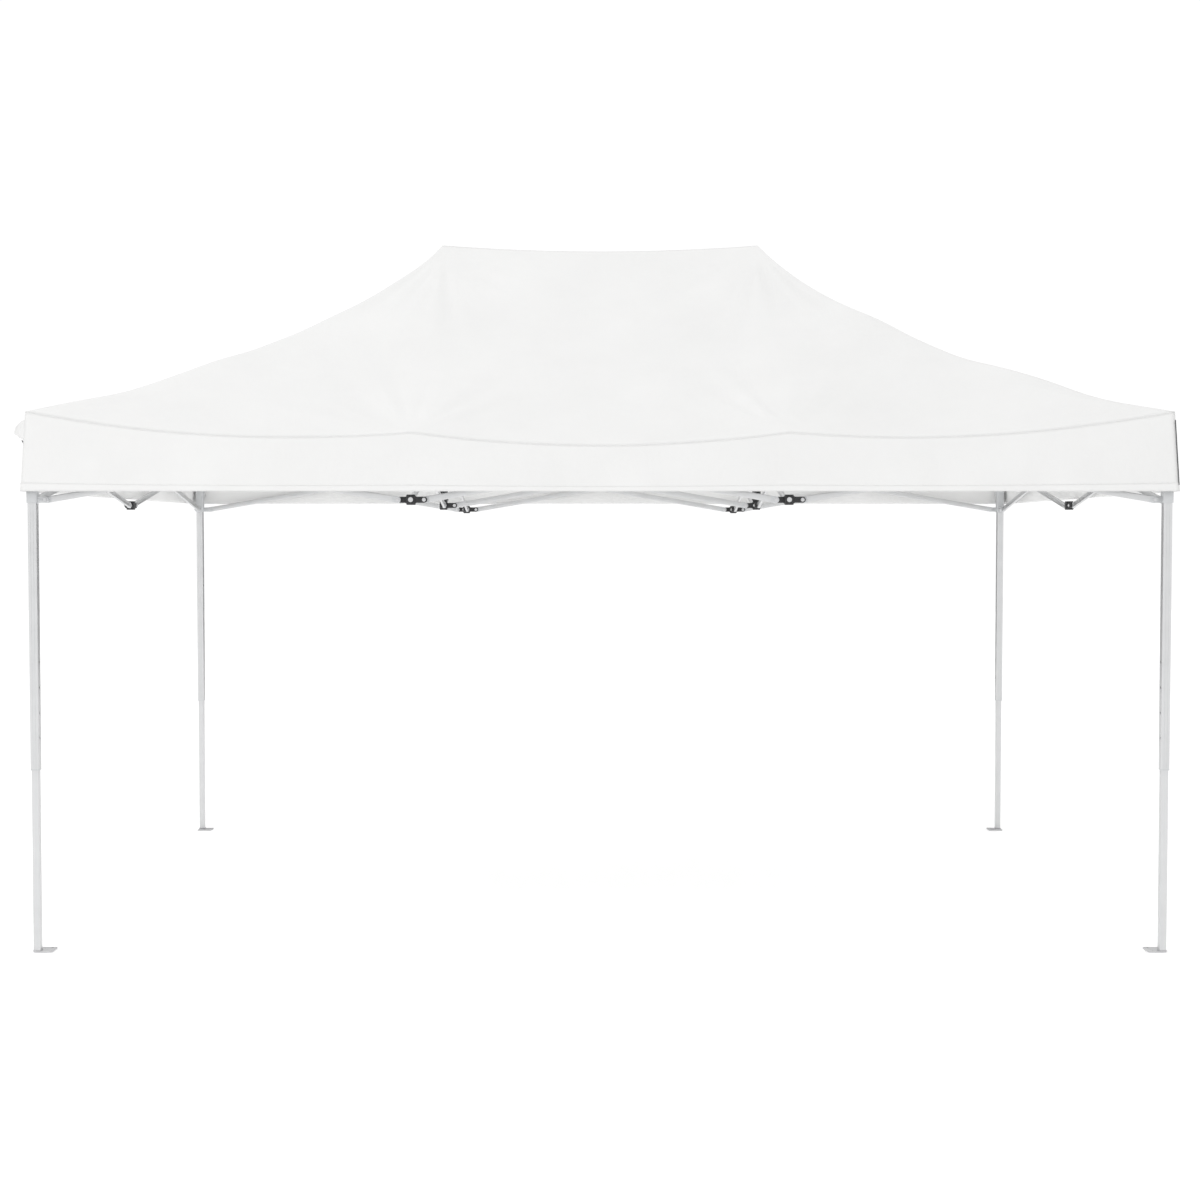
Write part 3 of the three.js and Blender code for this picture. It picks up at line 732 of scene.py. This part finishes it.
def make_slider(name, place, in_x, directions):
    """The slider with its waist, and on its inward face a catch with a button and a pull ring."""
    half, bore, low, high = SLIDER_HALF, SLIDER_BORE, SLIDER_LOW, SLIDER_HIGH
    build = Build()
    build.take(square_shell([
        (half - 0.0010, 0.004, low), (half, 0.005, low + 0.0012), (half, 0.005, LOWER_Z + 0.030),
        (half - 0.0012, 0.005, LOWER_Z + 0.034), (half - 0.0012, 0.005, high - 0.012),
        (half, 0.005, high - 0.009), (half, 0.005, high - 0.0012), (half - 0.0010, 0.004, high),
        (bore + 0.0006, 0.002, high), (bore, 0.002, high - 0.001), (bore, 0.002, low + 0.001),
        (bore + 0.0006, 0.002, low)]), BUSH)
    build.place = turned(-90 * in_x)
    catch = high - 0.034
    cover = (-0.011, half - 0.002, catch - 0.016), (0.011, half + 0.0045, catch + 0.016)
    build.take(block(*cover, 0.002), BUSH)
    button = [(0, 0), (0.0062, 0), (0.0060, 0.0050), (0.0046, 0.0064), (0, 0.0068)]
    build.take(lathe(button, 28), STEEL, around_y(half + 0.0040, 1, 0, catch + 0.004))
    ring = arc(0.0125, 0, 0.0011, 0, 360, 8)[:-1]
    build.take(lathe(ring, 28, True), STEEL, around_y(half + 0.0090, 1, 0, catch - 0.0085))
    build.place = Matrix()
    add_arms(build, directions, "lower", half, BUSH)
    node = f"{name}_slider"
    add_pieces(node, node, build.finish(node), place)


def foot_plate(in_x, in_y):
    """A square plate that reaches inward from the leg, with rounded corners and a hole for a peg."""
    near = INNER_TUBE / 2 + FOOT_OVERHANG
    far = FOOT_SIZE - near
    centre, half, soft = (far - near) / 2, FOOT_SIZE / 2, 0.0008
    peg = far - 0.016 - centre
    rim, hole = square_ring(half, 0.006), []
    for x, y in rim:
        angle = math.atan2(y - peg, x - peg)
        hole.append((peg + PEG_HOLE_RADIUS * math.cos(angle), peg + PEG_HOLE_RADIUS * math.sin(angle)))
    shrunk = 1 - soft / half
    levels = [(rim, shrunk, 0.0), (rim, 1, soft), (rim, 1, FOOT_THICKNESS - soft),
              (rim, shrunk, FOOT_THICKNESS), (hole, 1, FOOT_THICKNESS), (hole, 1, 0.0)]
    shape = bmesh.new()
    rings = [[shape.verts.new((x * scale, y * scale, z)) for x, y in points] for points, scale, z in levels]
    skin(shape, rings, closed=True)
    shape.transform(Matrix.Diagonal((in_x, in_y, 1, 1)) @ Matrix.Translation((centre, centre, 0)))
    return shape


# ---- Cloth -----------------------------------------------


def eave_line(at, stations, heights):
    """The height of the eave's straight line between supports, and how far it hangs below that."""
    k = np.clip(np.searchsorted(stations, at), 1, len(stations) - 1)
    t = (at - stations[k - 1]) / (stations[k] - stations[k - 1])
    return np.interp(at, stations, heights), EAVE_SAG * 4 * np.clip(t * (1 - t), 0, 1)


WIDE_EAVE = np.array([[-HALF_WIDTH, -PEAK_X, PEAK_X, HALF_WIDTH],
                      [CORNER_Z, EAVE_JOINT_Z, EAVE_JOINT_Z, CORNER_Z]])
DEEP_EAVE = np.array([[-HALF_DEPTH, 0.0, HALF_DEPTH], [CORNER_Z, EAVE_JOINT_Z, CORNER_Z]])


def stack(*parts):
    return np.stack(np.broadcast_arrays(*parts), axis=-1)


def slope_place(x, y):
    """For points in plan: if they are on a wide side, the share of the way down, and the place along it."""
    down_wide = np.abs(y) / HALF_DEPTH
    down_deep = (np.abs(x) - PEAK_X) / (HALF_WIDTH - PEAK_X)
    wide = down_wide >= down_deep
    down = np.maximum(down_wide, down_deep)
    half_x, half_y = PEAK_X + (HALF_WIDTH - PEAK_X) * down, np.maximum(HALF_DEPTH * down, 1e-9)
    return wide, down, np.clip(np.where(wide, x / half_x, y / half_y), -1, 1)


def roof_height(x, y):
    wide, down, across = slope_place(x, y)
    straight_wide, sag_wide = eave_line(across * HALF_WIDTH, *WIDE_EAVE)
    straight_deep, sag_deep = eave_line(across * HALF_DEPTH, *DEEP_EAVE)
    straight, sag = np.where(wide, straight_wide, straight_deep), np.where(wide, sag_wide, sag_deep)
    top = PEAK_Z - np.where(wide, RIDGE_SAG * (1 - across**2), 0)
    hollow = PANEL_HOLLOW + (HIP_HOLLOW - PANEL_HOLLOW) * np.abs(across) ** 3
    from_peak = np.hypot(down, PEAK_ROUNDING) - PEAK_ROUNDING
    sunk = hollow * from_peak**0.7 * np.maximum(1 - down, 0)
    return top + (straight - top) * down - sunk - sag * down**3


# The points that hold the roof up: x, y and how strongly the cloth folds there
HOLDS_UP = [(sx * COLUMNS[3], sy * ROWS[2], 1.0) for sx in (-1, 1) for sy in (-1, 1)]
HOLDS_UP += [(sx * PEAK_X, sy * ROWS[2], 0.8) for sx in (-1, 1) for sy in (-1, 1)]
HOLDS_UP += [(COLUMNS[0], 0.0, 0.8), (COLUMNS[3], 0.0, 0.8), (-PEAK_X, 0.0, 0.7), (PEAK_X, 0.0, 0.7)]


def wrinkles(x, y):
    """Height of the cloth's waves: rays of tension from each point that holds it up, and a slow billow."""
    rng = np.random.default_rng(ROOF_SEED)
    _, down, _ = slope_place(x, y)
    total = np.zeros_like(x)
    for _ in range(9):
        angle, length = rng.uniform(0, math.pi), rng.uniform(0.40, 1.10)
        phase = rng.uniform(0, 2 * math.pi)
        along = x * math.cos(angle) + y * math.sin(angle)
        total += BILLOW_HEIGHT * np.sin(2 * math.pi * along / length + phase)
    for px, py, strength in HOLDS_UP:
        distance, bearing = np.hypot(x - px, y - py), np.arctan2(y - py, x - px)
        reach = np.exp(-distance / FOLDS_FADE) * (1 - np.exp(-((distance / FOLDS_START) ** 2)))
        for folds in (7, 11, 16, 23):
            phase, bend = rng.uniform(0, 2 * math.pi), rng.uniform(-1.2, 1.2)
            total += FOLD_HEIGHT * strength * reach * np.sin(folds * bearing + phase + bend * distance)
    return total * np.clip(1.15 - down**8, 0.15, 1) * np.clip(down / 0.08, 0, 1)


def roof_surface(x, y, lift=0.0):
    x, y = np.asarray(x, float), np.asarray(y, float)
    return stack(x, y, roof_height(x, y) + wrinkles(x, y) + lift)


def rim_and_top(side, u):
    """Points in plan along a side, counter-clockwise from above: on the eave, and on the ridge above it."""
    wide, sign = side in ("front", "back"), -1 if side in ("front", "left") else 1
    across = 2 * u - 1 if side in ("front", "right") else 1 - 2 * u
    if wide:
        return (across * HALF_WIDTH, sign * HALF_DEPTH + 0 * u), (across * PEAK_X, 0 * u)
    return (sign * HALF_WIDTH + 0 * u, across * HALF_DEPTH), (sign * PEAK_X + 0 * u, 0 * u)


def grid_object(name, grids, material, thickness, offset, uvs):
    """One sheet from grids of points, joined where they meet. uvs are in metres, grid by grid."""
    shape = bmesh.new()
    layer = shape.loops.layers.uv.new("cut")
    for points, uv in zip(grids, uvs):
        rows, columns = points.shape[:2]
        verts = [[shape.verts.new(points[r, c]) for c in range(columns)] for r in range(rows)]
        for r in range(rows - 1):
            for c in range(columns - 1):
                corners = ((r, c), (r, c + 1), (r + 1, c + 1), (r + 1, c))
                face = shape.faces.new([verts[i][j] for i, j in corners])
                face.smooth = True
                for loop, (i, j) in zip(face.loops, corners):
                    loop[layer].uv = uv[i, j]
    bmesh.ops.remove_doubles(shape, verts=shape.verts, dist=2e-5)
    bmesh.ops.dissolve_degenerate(shape, edges=shape.edges, dist=1e-6)
    mesh = bpy.data.meshes.new(name)
    shape.to_mesh(mesh)
    shape.free()
    mesh.materials.append(material)
    made = new_object(name, mesh)
    hang_on_frame(made)
    solid = made.modifiers.new("thickness", "SOLIDIFY")
    solid.thickness, solid.offset = thickness, offset
    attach(made, "left_upper_hub")
    return made


def lengths_along(points, axis):
    steps = np.linalg.norm(np.diff(points, axis=axis), axis=-1)
    start = np.zeros_like(np.take(steps, [0], axis=axis))
    return np.concatenate([start, np.cumsum(steps, axis=axis)], axis=axis)


def make_roof():
    down = np.linspace(0, 1, RINGS + 1) ** 1.25
    grids, uvs = [], []
    for side, steps in SIDES.items():
        (rim_x, rim_y), (top_x, top_y) = rim_and_top(side, np.linspace(0, 1, steps + 1))
        x = top_x + (rim_x - top_x) * down[:, None]
        y = top_y + (rim_y - top_y) * down[:, None]
        points = roof_surface(x, y)
        grids.append(points)
        uvs.append(stack(x if side in ("front", "back") else y, lengths_along(points, 0)))
    roof = grid_object("roof_sheet", grids, CLOTH, CLOTH_THICKNESS, -1, uvs)
    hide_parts("roof_cover")
    return roof


def valance_point(side, u, down, lift=0.0):
    """The valance's outside: down is 0 at the eave and 1 at the hem. Its folds open towards the hem."""
    (x, y), _ = rim_and_top(side, u)
    wide = side in ("front", "back")
    place, half = (x, HALF_WIDTH) if wide else (y, HALF_DEPTH)
    stations = WIDE_EAVE[0] if wide else DEEP_EAVE[0]
    rng = np.random.default_rng(VALANCE_SEED + list(SIDES).index(side))
    from_corner = half - np.abs(place)
    from_support = np.min(np.abs(place[..., None] - stations), axis=-1)
    free = (1 - np.exp(-from_corner / 0.22)) * (1 - 0.65 * np.exp(-((from_support / 0.25) ** 2)))
    fold = np.zeros_like(place * down)
    for length in (0.90, 0.57, 0.34, 0.21):
        phase, drift = rng.uniform(0, 2 * math.pi), rng.uniform(-0.9, 0.9)
        fold += (0.3 + length) * np.sin(2 * math.pi * place / length + phase + drift * down)
    out = VALANCE_FLARE * down + FOLD_HEIGHT * free * (fold + 1.1) * down**1.3 + lift
    top = roof_height(x, y) + wrinkles(x, y) - 0.0003
    z = top + (VALANCE_BOTTOM_Z - top) * down
    return stack(x * (1 + out / HALF_WIDTH), y * (1 + out / HALF_DEPTH), z)


def valance_strip(name, material, low, high, lift, rows, thickness):
    """A band of the valance all the way round, between two shares of the way down."""
    grids, uvs, start = [], [], 0.0
    for side, steps in SIDES.items():
        u, down = np.linspace(0, 1, steps + 1)[None, :], np.linspace(low, high, rows + 1)[:, None]
        points = valance_point(side, u, down, lift)
        along = start + lengths_along(points, 1)[-1:, :]
        start = along[0, -1]
        height = lengths_along(points, 0) if material is CLOTH else (down - low) / (high - low)
        grids.append(points[:, ::-1])
        uvs.append(stack(along, height)[:, ::-1])
    return grid_object(name, grids, material, thickness, 1, uvs)


def ribbon(name, x, y, half_width):
    """Tape sewn to the roof along a path in plan."""
    path = stack(x, y)
    ahead = np.gradient(path, axis=0)
    across = stack(-ahead[:, 1], ahead[:, 0]) / np.linalg.norm(ahead, axis=1, keepdims=True)
    shares = np.linspace(-1, 1, 7)
    spots = path[:, None, :] + half_width * shares[None, :, None] * across[:, None, :]
    points = roof_surface(spots[..., 0], spots[..., 1], TAPE_LIFT)
    uv = stack(lengths_along(points, 0)[:, 3:4], (shares + 1) / 2)
    return grid_object(name, [points], TAPE, TAPE_THICKNESS, 1, [uv])


def on_hip(column, row, down):
    """A place in plan on the hip above one corner. down is its share of the way from ridge to eave."""
    return column * (PEAK_X + (HALF_WIDTH - PEAK_X) * down), row * HALF_DEPTH * down


def make_tapes():
    """The seam tapes along the hips, round the crown and along the ridge."""
    seam_x, seam_y = on_hip(1, 1, CROWN_SEAM)
    x, y = np.linspace(0.004 - seam_x, seam_x - 0.004, 130), np.linspace(-1, 1, 90) * (seam_y - 0.004)
    tapes = []
    for ns, row in (("front", -1), ("back", 1)):
        for ew, column in (("left", -1), ("right", 1)):
            hip = on_hip(column, row, np.linspace(0.004, 0.985, 110))
            tapes.append(ribbon(f"hip_tape_{ns}_{ew}", *hip, HIP_TAPE_HALF))
        tapes.append(ribbon(f"crown_tape_{ns}", x, row * seam_y, CROWN_TAPE_HALF))
    for ew, column in (("left", -1), ("right", 1)):
        tapes.append(ribbon(f"crown_tape_{ew}", column * seam_x, y, CROWN_TAPE_HALF))
    ridge = np.linspace(0.01 - PEAK_X, PEAK_X - 0.01, 100)
    tapes.append(ribbon("ridge_tape", ridge, 0.0, RIDGE_TAPE_HALF))
    return tapes


def make_cloth():
    roof = make_roof()
    valance = valance_strip("valance_sheet", CLOTH, 0, 1, -CLOTH_THICKNESS, VALANCE_ROWS, CLOTH_THICKNESS)
    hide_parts("valance")
    trims = [valance_strip("valance_hem", TAPE, *HEM_SPAN, TAPE_LIFT, 4, 0.0006),
             corner_closure("front_right_closure", "front", "right"),
             corner_closure("back_left_closure", "back", "left")]
    tapes = make_tapes()
    for name, side in (("front_left", -1), ("back_right", 1)):
        trims += [corner_flap(f"{name}_flap", side, side), corner_hook(f"{name}_hook", side, side)]


# ---- How the cloth folds with the frame ------------------

NODE_BODIES = {  # at each node: the body that holds the cloth up there, and the one that folds down
    **{place: (f"{name}_leg_outer", f"{name}_slider") for name, place in LEGS.items()},
    **{place: (f"{name}_upper", f"{name}_lower") for name, place in JOINTS.items()},
    MASTS["left"]: ("left_upper_hub", "left_mast"),
    MASTS["right"]: ("right_mast_guide_hub", "right_mast"),
}
FOLD_ANGLE = math.radians(78)  # how far each bar turns
FOLD_DROP = BAR_LENGTH * math.sin(BAR_TILT + FOLD_ANGLE) - (UPPER_Z - LOWER_Z)  # of the lower joints
BUNCH_Z = 2.078  # the cloth comes to rest on the folded frame at this height
PUFF = 0.020  # how far puffs of cloth stand above that
STILL_AT_NODE, STILL_AT_EAVE = 0.030, 0.066  # this near a joint, the cloth keeps its shape


def tents(values, stations, still):
    """Each station's share of each value: 1 as near as still, then falling to 0 at its neighbours."""
    bay = np.clip((values - stations[0]) / PITCH, 0, len(stations) - 1)
    whole = np.minimum(np.floor(bay), len(stations) - 2)
    part = np.clip((bay - whole - still / PITCH) / (1 - 2 * still / PITCH), 0, 1)
    return [np.where(whole == k, 1 - part, 0) + np.where(whole == k - 1, part, 0)
            for k in range(len(stations))]


def puffs(values, stations):
    """A wave with two crests between two stations."""
    return np.sin(2 * math.pi * np.clip((values - stations[0]) / PITCH, 0, len(stations) - 1)) ** 2


def cloth_shares(points):
    """How much of each body's movement each point of the cloth takes."""
    x, y, z = points.T
    _, down, _ = slope_place(x, y)
    height = roof_height(x, y)
    hanging = np.clip((height - z) / 0.10, 0, 1)
    at_eave = np.clip((down - 0.90) / 0.05, 0, 1) * (1 - hanging)
    still = STILL_AT_NODE + (STILL_AT_EAVE - STILL_AT_NODE) * at_eave
    columns, rows = tents(x, COLUMNS, still), tents(y, ROWS, still)
    puff = PUFF * (puffs(x, COLUMNS) + puffs(y, ROWS)) * np.clip(down / 0.1, 0, 1)
    to_fall = np.clip(height - BUNCH_Z - puff, 0, None) * np.clip((0.93 - down) / 0.18, 0, 1)
    lowered = to_fall / FOLD_DROP
    shares = {}
    for (i, j), (upper, lower) in NODE_BODIES.items():
        whole = columns[i] * rows[j]
        shares[upper], shares[lower] = whole * (1 - lowered), whole * lowered
    del shares["left_upper_hub"]  # the sheets ride on this one
    return shares


def hang_on_frame(made):
    """Hooks a sheet to the joints and masts, so that it gathers between them as the frame folds."""
    points = np.empty(len(made.data.vertices) * 3)
    made.data.vertices.foreach_get("co", points)
    for body, share in cloth_shares(points.reshape(-1, 3)).items():
        moved = np.flatnonzero(share > 1e-4)
        if not len(moved):
            continue
        group = made.vertex_groups.new(name=body)
        for index in moved.tolist():
            group.add([index], share[index], "REPLACE")
        hook = made.modifiers.new(body, "HOOK")
        hook.vertex_group = body
        hook.object = frame["bodies"][body]
        hook.falloff_type = "NONE"


# ---- Straps and corners ----------------------------------


def strap_round_leg(name, place, in_x):
    """A white strap sewn under the roof's corner, wrapped round the leg's bracket and closed on itself."""
    half, wide, thick = BRACKET_HALF + 0.0007, 0.025, 0.0014
    low = LEG_TOP_Z - 0.046
    high = low + wide
    shape = square_tube(half + thick, half, 0.0062, low, high, 0.0004)
    tail = (-0.014, half + thick + 0.0002, low + 0.001), (half - 0.005, half + 2 * thick, high - 0.001)
    tail = block(*tail, 0.0006)
    tail.transform(turned(-90 * in_x))
    add_shape(shape, tail)
    bmesh.ops.recalc_face_normals(shape, faces=shape.faces)
    made = new_object(name, smooth_mesh(name, shape, STRAP))
    made.matrix_world = place
    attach(made, name.replace("_strap", "_leg_outer"))


def corner_closure(name, long_side, short_side):
    """Hook tape down the valance's closed corner: it wraps a little way onto both sides."""
    down = np.linspace(0.10, 0.92, 26)[:, None]
    on_long, on_short = np.array([[0.9994, 1.0]]), np.array([[0.0016, 0.0030, 0.0044]])
    sides = (long_side, on_long), (short_side, on_short)
    points = np.concatenate([valance_point(side, u, down, 0.0003) for side, u in sides], axis=1)[:, ::-1]
    uv = stack(lengths_along(points, 1), lengths_along(points, 0))
    made = grid_object(name, [points], HOOK_TAPE, 0.0012, 1, [uv])
    return made


def corner_hook(name, column, row):
    """The short dark end of the hook tape that shows below a corner's flap."""
    along, across = np.linspace(0, 1, 7)[:, None], np.linspace(-1, 1, 4)[None, :]
    length, half_width = 0.026, 0.003
    x = column * (HALF_WIDTH + 0.013 - 0.012 * along + half_width * across)
    z = CORNER_Z - 0.110 - length * along + 0.0014 * across
    points, uv = stack(x, row * (HALF_DEPTH - 0.004), z), stack(length * along, 2 * half_width * across)
    made = grid_object(name, [points], HOOK_TAPE, 0.0016, 0, [uv])
    return made


def corner_flap(name, column, row):
    """The loose end of a corner's closing flap: a small triangle that stands out from the short side."""
    across, out = np.linspace(0, 1, 9)[:, None], np.linspace(0, 1, 9)[None, :]
    reach = 0.046 * out * (1 - 0.55 * np.abs(across - 0.35))
    x = column * HALF_WIDTH + column * (0.0005 + reach)
    y = row * HALF_DEPTH - row * (0.004 + 0.020 * out * across)
    droop = 0.030 + 0.075 * across + 0.030 * out * (1 - across)
    points = stack(x, y, CORNER_Z - droop + 0.006 * np.sin(5 * across + 3 * out))
    return grid_object(name, [points], CLOTH, CLOTH_THICKNESS, 0, [stack(0.05 * out, 0.07 * across)])


# ---- Assembly --------------------------------------------

make_bars()
for name, (column, row) in JOINTS.items():
    make_side_joint(name, column, row)
for name, node in MASTS.items():
    ways = "front", "back", "right" if name == "left" else "left"
    make_guide_hub(name, ways, node_place(*node))
    make_mast(name, ways, node_place(*node))
for name, (column, row) in LEGS.items():
    inward_x, inward_y = 1 if column == 0 else -1, 1 if row == 0 else -1
    ways = "right" if column == 0 else "left", "back" if row == 0 else "front"
    spot = node_place(column, row)
    make_outer_leg(name, spot, inward_x, inward_y, ways)
    make_inner_leg(name, spot, inward_x, inward_y)
    make_slider(name, spot, inward_x, ways)
    strap_round_leg(f"{name}_strap", spot, inward_x)
make_cloth()

# ---- Stage -----------------------------------------------

CAMERA_LENS, CAMERA_PLACE, CAMERA_TILT = 54.27, (0.0, -8.56, 1.65), 2.12  # mm, m, degrees downward
WORLD_STRENGTH, FLOOR_GLOW = 1.04, 0.12
LIT_POINT = (0, 0, 2.0)


def add_area(name, place, size, power, seen_in_metal=True):
    data = bpy.data.lights.new(name, "AREA")
    data.shape, data.size, data.energy = "DISK", size, power
    light = new_object(name, data)
    light.location = place
    light.rotation_euler = (Vector(LIT_POINT) - Vector(place)).to_track_quat("-Z", "Y").to_euler()
    light.visible_camera = False
    light.visible_glossy = seen_in_metal


def add_stage():
    scene = bpy.context.scene
    scene.view_settings.view_transform = "Standard"
    world = bpy.data.worlds.new("white")
    world.use_nodes = True
    background = world.node_tree.nodes["Background"]
    background.inputs["Color"].default_value = (1, 1, 1, 1)
    background.inputs["Strength"].default_value = WORLD_STRENGTH
    scene.world = world
    bpy.ops.mesh.primitive_plane_add(size=60, location=(0, 0, -0.001))
    floor = bpy.context.object
    floor.name = "floor"
    paper = Nodes("floor", (0.96, 0.96, 0.96), 0.9)
    paper.shader.inputs["Emission Color"].default_value = (1, 1, 1, 1)
    paper.shader.inputs["Emission Strength"].default_value = FLOOR_GLOW
    floor.data.materials.append(paper.material)
    add_area("key", (-12.0, -8.5, 14.5), 3.5, 590)
    add_area("under", (0, 0, 0.02), 4.2, 24, seen_in_metal=False)
    bpy.ops.mesh.primitive_plane_add(size=1, location=(0, 11.0, 1.2), rotation=(math.radians(90), 0, 0))
    card = bpy.context.object
    card.name, card.scale = "dark_card", (14.0, 2.6, 1)
    card.data.materials.append(Nodes("card", (0.05, 0.05, 0.05), 0.9).material)
    card.visible_camera = card.visible_diffuse = card.visible_shadow = False
    camera = new_object("camera", bpy.data.cameras.new("camera"))
    camera.data.lens = CAMERA_LENS
    camera.location = CAMERA_PLACE
    camera.rotation_euler = (math.radians(90 - CAMERA_TILT), 0, 0)
    scene.camera = camera


add_stage()
